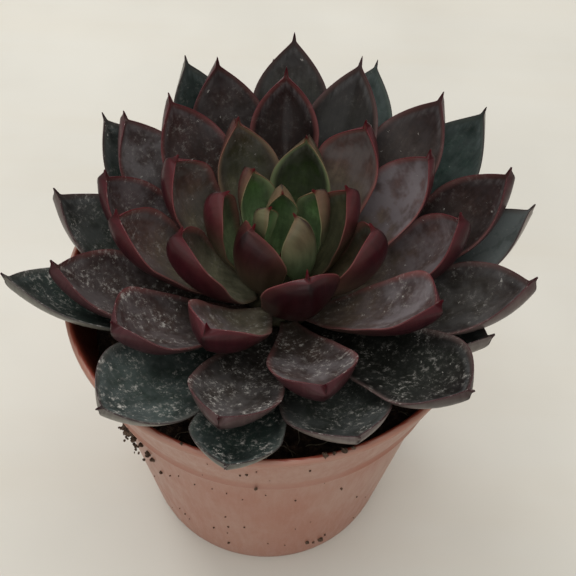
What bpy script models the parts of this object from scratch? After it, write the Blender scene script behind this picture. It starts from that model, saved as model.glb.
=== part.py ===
# Potted echeveria: one rosette of thick leaves in a plastic nursery pot
import itertools
import math

import bmesh
import bpy
import numpy as np
from mathutils import Vector
from mathutils.bvhtree import BVHTree

MM = 0.001
GAP = 0.3 * MM  # clearance between pieces that touch on the real plant

# Pot: a thin turned shell, its collar a little prouder than the body below it
POT_HEIGHT = 91.4 * MM
RIM_RADIUS = 52.5 * MM
COLLAR_DEPTH = 24.5 * MM
COLLAR_FOOT_RADIUS = 46.8 * MM
COLLAR_STEP = 0.7 * MM
BASE_RADIUS = 37.6 * MM
WALL = 1.6 * MM
FLOOR = 2.0 * MM
POT_STEPS = 64
DRAIN_COUNT = 6
DRAIN_RADIUS = 4.0 * MM
DRAIN_CIRCLE = 26.0 * MM

# Soil: fills the pot to this height, dished slightly towards the stem
SOIL_LEVEL = 75.0 * MM
SOIL_DISH = 1.0 * MM
SOIL_LUMP = 0.5 * MM
SOIL_STEPS = 48

# Stem: its axis stands a little off the pot's axis, as planted
STEM_X = 2.3 * MM
STEM_Y = 0.4 * MM
STEM_FOOT = 50.0 * MM
STEM_RADIUS = 9.0 * MM
CROWN_FOOT = 83.0 * MM
CROWN_TOP = 92.8 * MM
CROWN_TOP_RADIUS = 1.5 * MM
STEM_STEPS = 24

# Bud: the closed tip of the shoot, deep between the youngest leaves
BUD_HEIGHT = 9.0 * MM
BUD_RADIUS = 1.3 * MM
BUD_STEPS = 12

# Leaf sizes by age: 0 is the youngest leaf at the heart, 1 the oldest at the foot
AGES = (0.0, 0.1, 0.25, 0.45, 0.7, 1.0)
BACK_LIFT = 0.19  # the rosette rises towards the back by this share
TIP_HEIGHT = (115.8, 118.0, 119.8, 116.0, 114.2, 111.5)
ROOT_HEIGHT = (90.8, 89.3, 87.3, 84.8, 82.0, 79.0)
THICKNESS = (2.2, 2.9, 3.6, 3.9, 4.0, 4.2)
CURL = (32.0, 48.0, 48.0, 30.0, 16.0, 6.0)
UPTURN = (6.0, 12.0, 18.0, 20.0, 18.0, 16.0)
CUPPING = (0.60, 0.60, 0.50, 0.36, 0.30, 0.24)
END_ZONE = (2.1, 2.05, 2.05, 2.05, 2.0, 1.9)  # from the widest place to the tip, in half widths
ROUND_ZONE = 1.3  # the same for a leaf with a round end
SPIKE = (1.6, 2.2, 3.0, 3.2, 2.8, 2.2)  # length of the sharp spike at the tip

# Each leaf in order of age, as measured, with +Y at the back of the plant: bearing of its tip
# in degrees, reach of its tip from the stem and width of its blade in millimetres, and the
# shape of its end, from 0.5 for a round one to 1 for a pointed one
LEAVES = (
    (158, 3, 7, 0.8), (345, 2, 13, 0.75), (97, 4, 8, 0.8), (40, 8, 10.5, 0.8), (218, 8, 17.5, 0.62),
    (128, 12, 10, 0.8), (168, 13, 12.5, 0.75), (23, 15, 15, 0.8), (348, 20, 17, 0.7), (289, 18, 19, 0.52),
    (77, 19, 15.5, 0.8), (200, 24, 18.5, 0.78), (118, 26, 16.5, 0.8), (156, 28, 18, 0.67), (53, 31, 18, 0.69),
    (185, 39, 19, 0.71), (243, 34, 19.5, 0.52), (28, 39, 19, 0.74), (2, 41, 20, 0.76), (330, 42, 20.5, 0.58),
    (168, 45, 21, 0.79), (92, 43, 18, 0.8), (133, 45, 20, 0.82), (285, 43, 20.5, 0.52), (219, 47, 21.5, 0.56),
    (146, 52, 20.5, 0.86), (196, 55, 22.5, 0.87), (17, 57, 21.5, 0.88), (113, 50, 21, 0.9), (45, 55, 22, 0.91),
    (257, 51, 21.5, 0.52), (348, 60, 23, 0.93), (70, 53, 22, 0.95), (90, 58, 21.5, 0.96), (317, 59, 25, 0.58),
    (174, 58, 24, 0.97), (290, 55, 25, 0.52), (332, 57, 16, 0.98), (8, 62, 23, 0.99), (148, 59, 23, 1),
    (96, 53, 12, 1.01), (232, 61, 25, 0.6), (195, 66, 27, 1.02), (120, 57, 22, 1.03), (261, 60, 18, 0.55),
    (37, 64, 25, 1.04), (67, 61, 22, 1.05),
)
ROOT_WIDTH = 0.2  # of the leaf's full width
ROOT_THICKNESS = 0.4  # of the leaf's full thickness
SPIKE_ROUND = 0.62  # half width of the spike a millimetre from its point
EDGE_THICKNESS = 0.7 * MM
LOW_STATIONS = (0.0, 0.22, 0.45, 0.72, 1.0)  # from the root to the widest place
END_STATIONS = (0.70, 0.44, 0.22, 0.08)  # shares of the end zone still to go to the spike
UPPER_LINES = np.array((-1.0, -0.5, 0.0, 0.5, 1.0))
LOWER_LINES = np.array((0.62, 0.0, -0.62))

# Settling: leaves are packed from the heart outwards, each let down, rolled on its midrib,
# bowed, pressed thinner or rooted a little aside until it clears the leaves above it
DROPS = np.arange(0.0, 11.1, 0.5)
ROLLS = (0.0, 8.0, -8.0, 16.0, -16.0)
THINS = (1.0, 0.8, 0.65, 0.5)
SWINGS = (0.0, 2.5, -2.5, 5.0, -5.0)
BOWS = (0.0, -12.0, 12.0, 24.0, 36.0)
ROLL_COST = 0.2  # of a millimetre's drop, for each degree
BOW_COST = 0.08
THIN_COST = 5.0
SWING_COST = 0.6
PINCH = 0.35  # how much of the thinning the width takes as well
DROP_SHIFT = 0.785  # a leaf let down stands this much further back, in line with its picture

COLORS = {
    "pot": (0.42, 0.20, 0.15),
    "soil": (0.018, 0.013, 0.010),
    "stem": (0.20, 0.22, 0.12),
    "bud": (0.10, 0.16, 0.06),
    "young": (0.07, 0.14, 0.05),
    "middle": (0.07, 0.035, 0.035),
    "old": (0.035, 0.045, 0.042),
}


def remove_startup_objects():
    for obj in list(bpy.data.objects):
        bpy.data.objects.remove(obj)


def make_material(name, color, roughness):
    material = bpy.data.materials.new(name)
    material.use_nodes = True
    shader = material.node_tree.nodes["Principled BSDF"]
    shader.inputs["Base Color"].default_value = (*color, 1.0)
    shader.inputs["Roughness"].default_value = roughness
    shader.inputs["Metallic"].default_value = 0.0
    return material


def blend(low, high, t):
    return low + (high - low) * t


def smooth(t):
    t = min(max(t, 0.0), 1.0)
    return t * t * (3.0 - 2.0 * t)


def mesh_object(name, mesh, material, collection):
    obj = bpy.data.objects.new(name, mesh)
    mesh.materials.append(material)
    mesh.shade_smooth()
    mesh.set_sharp_from_angle(angle=math.radians(50))
    collection.objects.link(obj)
    return obj


def turned(name, profile, steps, material, collection):
    """A closed turned piece from a profile in X and Z that runs down its outer side, top to bottom."""
    mesh = bpy.data.meshes.new(name)
    edges = [(i, i + 1) for i in range(len(profile) - 1)]
    mesh.from_pydata([(x, 0.0, z) for x, z in profile], edges, [])
    obj = mesh_object(name, mesh, material, collection)
    screw = obj.modifiers.new("turn", "SCREW")
    screw.steps = steps
    screw.render_steps = steps
    screw.use_merge_vertices = True
    screw.merge_threshold = 0.01 * MM
    screw.use_smooth_shade = True
    return obj


def apply_modifiers(obj):
    """Replaces the object's mesh with its evaluated mesh."""
    graph = bpy.context.evaluated_depsgraph_get()
    mesh = bpy.data.meshes.new_from_object(obj.evaluated_get(graph))
    obj.modifiers.clear()
    obj.data = mesh


def pot_outer_radius(height):
    """Outer radius of the pot's body below its collar."""
    body_top = COLLAR_FOOT_RADIUS - COLLAR_STEP
    return blend(BASE_RADIUS, body_top, height / (POT_HEIGHT - COLLAR_DEPTH))


def pot_inner_radius(height):
    """Inner radius of the pot, below the collar or inside it."""
    collar_foot = POT_HEIGHT - COLLAR_DEPTH
    if height <= collar_foot:
        return pot_outer_radius(height) - WALL
    low = pot_outer_radius(collar_foot) - WALL
    return blend(low, RIM_RADIUS - WALL, (height - collar_foot) / COLLAR_DEPTH)


def make_pot(collection, cutters):
    collar_foot = POT_HEIGHT - COLLAR_DEPTH
    lip = 0.5 * MM
    foot_round = 0.8 * MM
    outside = [
        (RIM_RADIUS - WALL + lip, POT_HEIGHT),
        (RIM_RADIUS - lip, POT_HEIGHT),
        (RIM_RADIUS, POT_HEIGHT - lip),
        (COLLAR_FOOT_RADIUS + COLLAR_STEP / 2, collar_foot + 2.5 * lip),
        (COLLAR_FOOT_RADIUS + COLLAR_STEP / 2, collar_foot + lip),
        (COLLAR_FOOT_RADIUS - COLLAR_STEP, collar_foot),
        (pot_outer_radius(foot_round), foot_round),
        (BASE_RADIUS - foot_round, 0.0),
        (0.0, 0.0),
    ]
    inside = [
        (0.0, FLOOR),
        (pot_inner_radius(FLOOR), FLOOR),
        (pot_inner_radius(collar_foot), collar_foot),
        (RIM_RADIUS - WALL, POT_HEIGHT - lip),
    ]
    material = make_material("pot_plastic", COLORS["pot"], 0.45)
    profile = outside + inside + outside[:1]
    pot = turned("pot", profile, POT_STEPS, material, collection)
    mesh = bmesh.new()
    for i in range(DRAIN_COUNT):
        angle = 2.0 * math.pi * (i + 0.5) / DRAIN_COUNT
        place = Vector((math.cos(angle), math.sin(angle), 0.0)) * DRAIN_CIRCLE
        made = bmesh.ops.create_cone(
            mesh, cap_ends=True, segments=12, radius1=DRAIN_RADIUS, radius2=DRAIN_RADIUS, depth=4 * FLOOR
        )
        bmesh.ops.translate(mesh, verts=made["verts"], vec=place)
    data = bpy.data.meshes.new("drain_cutter")
    mesh.to_mesh(data)
    mesh.free()
    cutter = bpy.data.objects.new("drain_cutter", data)
    cutter.hide_render = True
    cutter.display_type = "WIRE"
    cutters.objects.link(cutter)
    cut = pot.modifiers.new("drain_holes", "BOOLEAN")
    cut.operation = "DIFFERENCE"
    cut.object = cutter
    return pot


def soil_top(radius):
    """Height of the soil's surface at this distance from the stem."""
    return SOIL_LEVEL - SOIL_DISH * math.exp(-((radius / (25 * MM)) ** 2))


def make_soil(collection):
    hole = STEM_RADIUS + GAP
    hole_foot = STEM_FOOT - GAP
    edge = pot_inner_radius(SOIL_LEVEL) - GAP
    collar_foot = POT_HEIGHT - COLLAR_DEPTH
    floor = FLOOR + GAP
    rings = [blend(edge, hole, i / 6) for i in range(1, 7)]
    profile = [(edge, SOIL_LEVEL), (pot_inner_radius(collar_foot) - GAP, collar_foot)]
    profile += [(pot_inner_radius(floor) - GAP, floor), (0.0, floor)]
    profile += [(0.0, hole_foot), (hole, hole_foot)]
    profile += [(radius, soil_top(radius)) for radius in reversed(rings)]
    profile.append(profile[0])
    material = make_material("potting_mix", COLORS["soil"], 0.95)
    soil = turned("soil", profile, SOIL_STEPS, material, collection)
    apply_modifiers(soil)
    for vertex in soil.data.vertices:
        x, y, z = vertex.co
        radius = math.hypot(x, y)
        if z > SOIL_LEVEL - 2 * SOIL_DISH and radius > hole - MM:
            vertex.co.z += SOIL_LUMP * math.sin(x / (4 * MM)) * math.cos(y / (5 * MM))
        if radius < hole + MM:
            vertex.co.x += STEM_X
            vertex.co.y += STEM_Y
    return soil


def crown_radius(height):
    """Radius of the stem at this height: straight below the crown, then drawn in to its top."""
    t = max((CROWN_TOP - height) / (CROWN_TOP - CROWN_FOOT), 0.0)
    return blend(CROWN_TOP_RADIUS, STEM_RADIUS, min(t, 1.0) ** 0.8)


def make_stem(collection):
    crown = [blend(CROWN_TOP, CROWN_FOOT, i / 5) for i in range(6)]
    profile = [(0.0, CROWN_TOP)] + [(crown_radius(height), height) for height in crown]
    profile += [(STEM_RADIUS, STEM_FOOT + MM), (STEM_RADIUS - MM, STEM_FOOT), (0.0, STEM_FOOT)]
    material = make_material("stem_skin", COLORS["stem"], 0.7)
    stem = turned("stem", profile, STEM_STEPS, material, collection)
    stem.location = (STEM_X, STEM_Y, 0.0)
    return stem


def make_bud(collection):
    foot = CROWN_TOP + GAP
    shares = [(0.0, 1.0), (0.25, 0.95), (0.7, 0.72), (1.0, 0.38), (0.9, 0.1), (0.6, 0.0), (0.0, 0.0)]
    profile = [(BUD_RADIUS * wide, foot + BUD_HEIGHT * high) for wide, high in shares]
    material = make_material("bud_skin", COLORS["bud"], 0.4)
    bud = turned("bud", profile, BUD_STEPS, material, collection)
    bud.location = (STEM_X, STEM_Y, 0.0)
    return bud


def ease(t):
    """Smooth step from 0 to 1, for arrays."""
    t = np.clip(t, 0.0, 1.0)
    return t * t * (3.0 - 2.0 * t)


def by_age(number, values):
    return float(np.interp(number / (len(LEAVES) - 1), AGES, values))


def midrib(number, drop, bow):
    """The leaf's bearing and length, and the midrib's radius, height and pitch at even steps."""
    bearing, reach = LEAVES[number][:2]
    tip_x = reach * MM * math.cos(math.radians(bearing))
    tip_y = reach * MM * math.sin(math.radians(bearing))
    tip_z = (by_age(number, TIP_HEIGHT) - drop) * MM + BACK_LIFT * tip_y
    tip_y += DROP_SHIFT * drop * MM
    root_z = (by_age(number, ROOT_HEIGHT) - 0.3 * drop) * MM
    steps = np.linspace(0.0, 1.0, 121)
    curl = math.radians(by_age(number, CURL) + bow)
    pitch = curl * steps**1.2 + math.radians(by_age(number, UPTURN)) * ease((steps - 0.72) / 0.28)
    along = np.cos(pitch)
    upward = np.sin(pitch)
    x = np.concatenate([[0.0], np.cumsum(along[1:] + along[:-1])]) / (2 * len(steps) - 2)
    z = np.concatenate([[0.0], np.cumsum(upward[1:] + upward[:-1])]) / (2 * len(steps) - 2)
    root = crown_radius(root_z) + 2 * GAP
    out = math.hypot(tip_x, tip_y) - root
    rise = tip_z - root_z
    turn = math.atan2(rise, out) - math.atan2(z[-1], x[-1])
    length = math.hypot(out, rise) / math.hypot(x[-1], z[-1])
    radius = root + length * (x * math.cos(turn) - z * math.sin(turn))
    height = root_z + length * (x * math.sin(turn) + z * math.cos(turn))
    return math.atan2(tip_y, tip_x), length, steps, radius, height, pitch + turn


def end_zone(number):
    """Length from the widest place to the tip: short on round ends, long on pointed ones."""
    pointed = ease((LEAVES[number][3] - 0.55) / 0.3)
    return blend(ROUND_ZONE, by_age(number, END_ZONE), pointed) * 0.5 * LEAVES[number][2] * MM


def stations(number, length):
    """Shares of the length at which the blade has a ring of points."""
    spike = by_age(number, SPIKE) * MM / length
    zone = end_zone(number) / length
    low = [(1.0 - zone) * share for share in LOW_STATIONS]
    end = [1.0 - spike - (zone - spike) * share for share in END_STATIONS]
    return np.array(low + end + [1.0 - 0.5 * spike, 1.0])


def blade_width(number, s, length):
    """Half the width: narrow root, rounded end and a fine spike that the end flows into."""
    half = 0.5 * LEAVES[number][2] * MM
    spike = by_age(number, SPIKE) * MM
    zone = end_zone(number)
    to_tip = np.maximum((1.0 - s) * length, 0.0)
    t = np.clip((zone - to_tip) / (zone - spike), 0.0, 1.0)
    rounded = half * (1.0 - t**2) ** LEAVES[number][3]
    root = half * blend(ROOT_WIDTH, 1.0, ease(s / (1.0 - zone / length)))
    fine = SPIKE_ROUND * MM * (to_tip / MM) ** 0.6
    return np.where(to_tip > zone, root, (rounded**2.5 + fine**2.5) ** 0.4)


def blade_depth(number, s, length, thin):
    """Thickness at the midrib: plump in the middle, thin at the root and at the tip."""
    full = thin * by_age(number, THICKNESS) * MM
    to_tip = (1.0 - s) * length / (0.8 * LEAVES[number][2] * MM)
    swell = blend(ROOT_THICKNESS, 1.0, ease(s / 0.5))
    end = np.clip(1.0 - (1.0 - np.clip(to_tip, 0.0, 1.0)) ** 2.2, 0.0, 1.0) ** 0.8
    return np.maximum(full * swell * end, EDGE_THICKNESS)


def leaf_points(number, drop=0.0, roll=0.0, bow=0.0, thin=1.0, swing=0.0, grow=0.0):
    """The blade's points, ring after ring from the root to the spike and its one end point."""
    bearing, length, steps, radius, height, pitch = midrib(number, drop, bow)
    s = stations(number, length)[:, None]
    v = np.concatenate([UPPER_LINES, LOWER_LINES])[None, :]
    lower = np.arange(v.shape[1])[None, :] >= len(UPPER_LINES)
    half = blend(1.0, thin, PINCH) * blade_width(number, s, length)
    lift = by_age(number, CUPPING) * half * blend(0.25, 1.0, ease(s / 0.6)) * np.abs(v) ** 1.8
    under = blade_depth(number, s, length, thin) * (1.0 - np.abs(v) ** 2.6) + grow
    lift = lift + np.where(lower, -under, grow)
    side = (half + grow) * v
    tilt = math.radians(roll) * ease(s / 0.5)
    lift, side = lift * np.cos(tilt) + side * np.sin(tilt), side * np.cos(tilt) - lift * np.sin(tilt)
    side = side + swing * MM * (1.0 - s) ** 2
    slope = np.interp(s, steps, pitch)
    outward = np.interp(s, steps, radius) - lift * np.sin(slope)
    x = STEM_X + outward * math.cos(bearing) - side * math.sin(bearing)
    y = STEM_Y + outward * math.sin(bearing) + side * math.cos(bearing)
    z = np.interp(s, steps, height) + lift * np.cos(slope)
    points = np.stack([x, y, z], axis=-1)
    return np.concatenate([points[:-1].reshape(-1, 3), points[-1:, len(UPPER_LINES) // 2]])


def leaf_faces():
    """Triangles over the rings of points, alike on every leaf."""
    ring = len(UPPER_LINES) + len(LOWER_LINES)
    last = (len(LOW_STATIONS) + len(END_STATIONS)) * ring
    faces = []
    for i in range(0, last, ring):
        for j in range(ring):
            a, b = i + j, i + (j + 1) % ring
            faces += [(a, a + ring, b + ring), (a, b + ring, b)]
    faces += [(last + j, last + ring, last + (j + 1) % ring) for j in range(ring)]
    faces += [(0, j, j + 1) for j in range(1, ring - 1)]
    return faces


def settle_trials():
    """Every drop, roll, bow, thinning and swing to try on a leaf, the gentlest first."""
    trials = itertools.product(DROPS, ROLLS, BOWS, THINS, SWINGS)
    costs = (1.0, ROLL_COST, BOW_COST, THIN_COST, SWING_COST)
    start = (0.0, 0.0, 0.0, 1.0, 0.0)
    return sorted(trials, key=lambda t: sum(c * abs(a - b) for c, a, b in zip(costs, t, start)))


def settle(number, faces, placed, trials):
    """The gentlest trial that keeps this leaf clear of everything placed so far."""
    best = None
    for trial in trials:
        tree = BVHTree.FromPolygons(leaf_points(number, *trial, GAP).tolist(), faces)
        hits = sum(len(tree.overlap(other)) for other in placed)
        if hits == 0:
            return trial
        if best is None or hits < best[0]:
            best = (hits, trial)
    print("leaf", number + 1, "touches at", best[0], "faces")
    return best[1]


def leaf_color(age):
    if age < 0.3:
        return [blend(a, b, age / 0.3) for a, b in zip(COLORS["young"], COLORS["middle"])]
    return [blend(a, b, (age - 0.3) / 0.7) for a, b in zip(COLORS["middle"], COLORS["old"])]


def mesh_tree(obj):
    """Search tree of a finished piece, in the common frame."""
    mesh = obj.evaluated_get(bpy.context.evaluated_depsgraph_get()).to_mesh()
    points = [obj.matrix_world @ vertex.co for vertex in mesh.vertices]
    return BVHTree.FromPolygons(points, [tuple(face.vertices) for face in mesh.polygons])


def make_leaves(collection, neighbours):
    bpy.context.view_layer.update()
    placed = [mesh_tree(obj) for obj in neighbours]
    faces = leaf_faces()
    trials = settle_trials()
    for number in range(len(LEAVES)):
        trial = settle(number, faces, placed, trials)
        points = leaf_points(number, *trial).tolist()
        placed.append(BVHTree.FromPolygons(points, faces))
        name = f"leaf_{number + 1:02d}"
        mesh = bpy.data.meshes.new(name)
        mesh.from_pydata(points, [], faces)
        color = leaf_color(number / (len(LEAVES) - 1))
        mesh_object(name, mesh, make_material(name, color, 0.4), collection)
        print(name, "drop, roll, bow, thinning and swing", *trial)


def main():
    remove_startup_objects()
    parts = bpy.data.collections.new("potted_echeveria")
    cutters = bpy.data.collections.new("cutters")
    bpy.context.scene.collection.children.link(parts)
    bpy.context.scene.collection.children.link(cutters)
    pot = make_pot(parts, cutters)
    soil = make_soil(parts)
    stem = make_stem(parts)
    bud = make_bud(parts)
    make_leaves(parts, [pot, soil, stem, bud])


main()
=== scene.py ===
import math

import bmesh
import bpy
import numpy as np
from mathutils import Matrix, Vector


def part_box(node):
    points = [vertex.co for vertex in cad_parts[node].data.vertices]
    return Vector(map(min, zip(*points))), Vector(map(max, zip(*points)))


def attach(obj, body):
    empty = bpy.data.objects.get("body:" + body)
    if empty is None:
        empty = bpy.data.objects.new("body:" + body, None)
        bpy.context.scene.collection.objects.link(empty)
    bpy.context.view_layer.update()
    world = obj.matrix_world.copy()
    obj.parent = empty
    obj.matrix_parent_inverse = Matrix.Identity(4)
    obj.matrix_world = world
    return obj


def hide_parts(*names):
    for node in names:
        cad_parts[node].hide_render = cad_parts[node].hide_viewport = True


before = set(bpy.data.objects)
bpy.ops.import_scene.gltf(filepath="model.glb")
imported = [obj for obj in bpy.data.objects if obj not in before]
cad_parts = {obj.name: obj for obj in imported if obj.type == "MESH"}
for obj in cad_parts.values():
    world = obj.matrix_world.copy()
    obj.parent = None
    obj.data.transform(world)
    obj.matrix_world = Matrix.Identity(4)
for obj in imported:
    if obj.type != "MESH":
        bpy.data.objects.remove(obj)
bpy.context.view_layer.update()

mm = 0.001


# small helpers: numbers, shader nodes and meshes


def blend(low, high, t):
    return low + (high - low) * t


def ease(t):
    t = np.clip(t, 0.0, 1.0)
    return t * t * (3.0 - 2.0 * t)


def paint(red, green, blue):
    # a tint read off a screen (0 to 255), as the linear colour that the shader wants
    values = [v / 255.0 for v in (red, green, blue)]
    return [v / 12.92 if v <= 0.04045 else ((v + 0.055) / 1.055) ** 2.4 for v in values] + [1.0]


def plug(tree, node, sockets):
    # each socket takes another node's output, or a plain value
    for socket, value in sockets.items():
        if isinstance(value, bpy.types.NodeSocket):
            tree.links.new(value, node.inputs[socket])
        else:
            node.inputs[socket].default_value = value


def put(tree, kind, sockets=None, **settings):
    node = tree.nodes.new(kind)
    for key, value in settings.items():
        setattr(node, key, value)
    plug(tree, node, sockets or {})
    return node


def calc(tree, operation, first, second=0.0, clamp=False):
    node = put(tree, "ShaderNodeMath", {0: first, 1: second}, operation=operation, use_clamp=clamp)
    return node.outputs[0]


def times(tree, value, *others):
    for other in others:
        value = calc(tree, "MULTIPLY", value, other)
    return value


def fade(tree, value, start, end, low=0.0, high=1.0):
    # goes smoothly from low to high while value goes from start to end
    sockets = {"Value": value, "From Min": start, "From Max": end, "To Min": low, "To Max": high}
    return put(tree, "ShaderNodeMapRange", sockets, interpolation_type="SMOOTHSTEP").outputs["Result"]


def mix(tree, amount, under, over, kind="MIX"):
    node = put(tree, "ShaderNodeMix", {0: amount, 6: under, 7: over}, data_type="RGBA", blend_type=kind)
    return node.outputs[2]


def dim(tree, color, share):
    # the colour times a number
    grey = put(tree, "ShaderNodeCombineColor", {0: share, 1: share, 2: share}).outputs[0]
    return mix(tree, 1.0, color, grey, "MULTIPLY")


def grain(tree, where, scale, detail=3.0, rough=0.55, stretch=None):
    if stretch:
        where = put(tree, "ShaderNodeVectorMath", {0: where, 1: stretch}, operation="MULTIPLY").outputs[0]
    sockets = {"Vector": where, "Scale": scale, "Detail": detail, "Roughness": rough}
    return put(tree, "ShaderNodeTexNoise", sockets).outputs["Fac"]


def read(tree, name, kind="Fac"):
    return put(tree, "ShaderNodeAttribute", attribute_name=name).outputs[kind]


def ramp(tree, value, stops):
    node = put(tree, "ShaderNodeValToRGB", {"Fac": value})
    band = node.color_ramp
    while len(band.elements) < len(stops):
        band.elements.new(0.5)
    for element, (place, tint) in zip(band.elements, sorted(stops.items())):
        element.position = place
        element.color = paint(*tint)
    return node.outputs["Color"]


def newMaterial(name):
    material = bpy.data.materials.new(name)
    material.use_nodes = True
    tree = material.node_tree
    return material, tree, tree.nodes["Principled BSDF"]


def millimetres(tree):
    # the object's own coordinates in millimetres
    place = put(tree, "ShaderNodeTexCoord").outputs["Object"]
    sockets = {0: place, 1: (1000.0, 1000.0, 1000.0)}
    return put(tree, "ShaderNodeVectorMath", sockets, operation="MULTIPLY").outputs[0]


def bump(tree, height, depth, strength=1.0):
    # depth in millimetres
    sockets = {"Height": height, "Distance": depth * mm, "Strength": strength}
    return put(tree, "ShaderNodeBump", sockets).outputs["Normal"]


def meshPiece(name, points, faces, material, smooth=True):
    mesh = bpy.data.meshes.new(name)
    mesh.from_pydata([tuple(p) for p in points], [], [tuple(f) for f in faces])
    mesh.materials.append(material)
    if smooth:
        mesh.shade_smooth()
    mesh.update()
    piece = bpy.data.objects.new(name, mesh)
    bpy.context.scene.collection.objects.link(piece)
    return piece


def store(piece, name, values):
    layer = piece.data.attributes.new(name, "FLOAT", "POINT")
    layer.data.foreach_set("value", np.asarray(values, np.float32).ravel())


def storeVector(piece, name, values):
    layer = piece.data.attributes.new(name, "FLOAT_VECTOR", "POINT")
    layer.data.foreach_set("vector", np.asarray(values, np.float32).ravel())


def finishMesh(piece):
    # bakes the modifiers into the mesh
    graph = bpy.context.evaluated_depsgraph_get()
    mesh = bpy.data.meshes.new_from_object(piece.evaluated_get(graph))
    piece.modifiers.clear()
    piece.data = mesh


def around(count):
    # angles once round a circle
    return np.linspace(0.0, 2.0 * math.pi, count + 1)[:-1]


def joinRings(rings, count):
    # quads between rings of the same number of points, first ring to last
    faces = []
    for low in range(0, (rings - 1) * count, count):
        for i in range(count):
            after = (i + 1) % count
            faces.append((low + i, low + after, low + count + after, low + count + i))
    return faces


def tube(rings, count):
    # the same, closed at both ends
    ends = [tuple(range(count))[::-1], tuple(range((rings - 1) * count, rings * count))]
    return joinRings(rings, count) + ends


# the rosette: how the leaves grow, in millimetres

rosette = {
    "stemX": 2.3, "stemY": 0.4,
    "crownFoot": 83.0, "crownTop": 92.8, "crownTopRadius": 1.5, "stemRadius": 9.0,
    "backLift": 0.19,
    "ages": (0.0, 0.1, 0.25, 0.45, 0.7, 1.0),  # 0 the youngest leaf, 1 the oldest
    "tipHeight": (115.8, 118.0, 119.8, 116.0, 114.2, 111.5),
    "rootHeight": (90.8, 89.3, 87.3, 84.8, 82.0, 79.0),
    "thickness": (2.2, 2.9, 3.6, 3.9, 4.0, 4.2),
    "curl": (32.0, 48.0, 48.0, 30.0, 16.0, 6.0),
    "upturn": (6.0, 12.0, 18.0, 20.0, 18.0, 16.0),
    "cupping": (0.60, 0.60, 0.50, 0.36, 0.30, 0.24),
    "neck": (0.7, 0.42, 0.42, 0.62, 0.7, 0.72),  # below 1 the blade widens sooner from its root
    "endZone": (2.1, 2.05, 2.05, 2.05, 2.0, 1.9),
    "roundZone": 1.3,
    "spike": (1.6, 2.2, 3.0, 3.2, 2.8, 2.2),
    "rootWidth": 0.2, "rootThickness": 0.4,  # shares of the full width and thickness
    "rootGap": 0.6,  # roots stand this far off the crown, so that the solids lie free
    "bend": 1.2, "upturnFrom": 0.72,  # how a midrib curls, and where its end turns up
    "pinch": 0.15,  # how far a thinned blade narrows too
    "rootDrop": 0.3, "dropShift": 0.785,  # a leaf that is let down also moves away from the front
    "youngest": 11, "middle": 30,  # the last leaves with the young skin and with the middle skin
    "boxSlack": 0.0015,  # in metres: a blade further off its solid than this is named
}

# each leaf, youngest first: bearing of its tip in degrees, reach from the stem, width of the blade,
# and how its end narrows, from 0.5 for a round end to 1 for a long point
leaves = (
    (158, 3, 7, 0.8), (345, 2, 13, 0.75), (97, 4, 8, 0.8), (40, 8, 10.5, 0.8), (218, 8, 17.5, 0.62),
    (128, 12, 10, 0.8), (168, 13, 12.5, 0.75), (23, 15, 15, 0.8), (348, 20, 17, 0.7),
    (289, 18, 19, 0.52), (77, 19, 15.5, 0.8), (200, 24, 18.5, 0.78), (118, 26, 16.5, 0.8),
    (156, 28, 18, 0.67), (53, 31, 18, 0.69), (185, 39, 19, 0.71), (243, 34, 19.5, 0.52),
    (28, 39, 19, 0.74), (2, 41, 20, 0.76), (330, 42, 20.5, 0.58), (168, 45, 21, 0.79),
    (92, 43, 18, 0.8), (133, 45, 20, 0.82), (285, 43, 20.5, 0.52), (219, 47, 21.5, 0.56),
    (146, 52, 20.5, 0.86), (196, 55, 22.5, 0.87), (17, 57, 21.5, 0.88), (113, 50, 21, 0.9),
    (45, 55, 22, 0.91), (257, 51, 21.5, 0.52), (348, 60, 23, 0.93), (70, 53, 22, 0.95),
    (90, 58, 21.5, 0.96), (317, 59, 25, 0.58), (174, 58, 24, 0.97), (290, 55, 25, 0.52),
    (332, 57, 16, 0.98), (8, 62, 23, 0.99), (148, 59, 23, 1), (96, 53, 12, 1.01), (232, 61, 25, 0.6),
    (195, 66, 27, 1.02), (120, 57, 22, 1.03), (261, 60, 18, 0.55), (37, 64, 25, 1.04),
    (67, 61, 22, 1.05),
)

# leaves that don't lie quite free: let down (mm), rolled, bowed (degrees), thinned, root aside (mm)
settled = {
    3: (0, 0, 24, 1, 0), 4: (0, 0, 12, 1, 0), 7: (0, 0, 36, 0.8, 0), 8: (0.5, 0, 0, 1, 0),
    9: (0, 0, 24, 1, 0), 12: (0, 0, 12, 1, 0), 14: (0, 0, 24, 1, 0), 16: (1.5, 0, 12, 1, 0),
    18: (0, 0, 12, 0.8, 0), 19: (0, 0, 36, 1, -2.5), 20: (0, 0, -12, 1, -2.5),
    21: (3.5, 0, 36, 1, 0), 26: (7, 0, 36, 1, 0), 27: (2, 0, 24, 1, 0), 28: (0, 0, 36, 1, 0),
    29: (0, 0, 36, 1, 0), 30: (0, 0, 12, 1, 0), 32: (0, 0, 24, 1, 0), 33: (0.5, 0, 0, 0.5, 0),
    34: (3, 0, 36, 1, 0), 36: (7, 0, 36, 1, 0), 37: (1, 0, 24, 0.5, 0), 38: (7, -16, 24, 0.5, 0),
    39: (3.5, 0, 36, 0.5, 5), 40: (9.5, 0, 36, 0.5, 0), 41: (10, 16, 36, 1, 0),
    42: (0, -8, 0, 1, 0), 43: (0, 16, 36, 0.5, 0), 44: (1, 16, 36, 0.65, 0), 45: (1, 0, 0, 0.5, 0),
    46: (2.5, 0, 36, 0.8, 5), 47: (11, 0, 12, 0.65, 0),
}

# leaves whose face is green, from 0 for brown to 1 (others 0)
greened = {1: 1.0, 2: 1.0, 3: 1.0, 4: 1.0, 6: 1.0, 7: 0.3, 8: 0.3, 11: 1.0, 13: 0.75}

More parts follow.
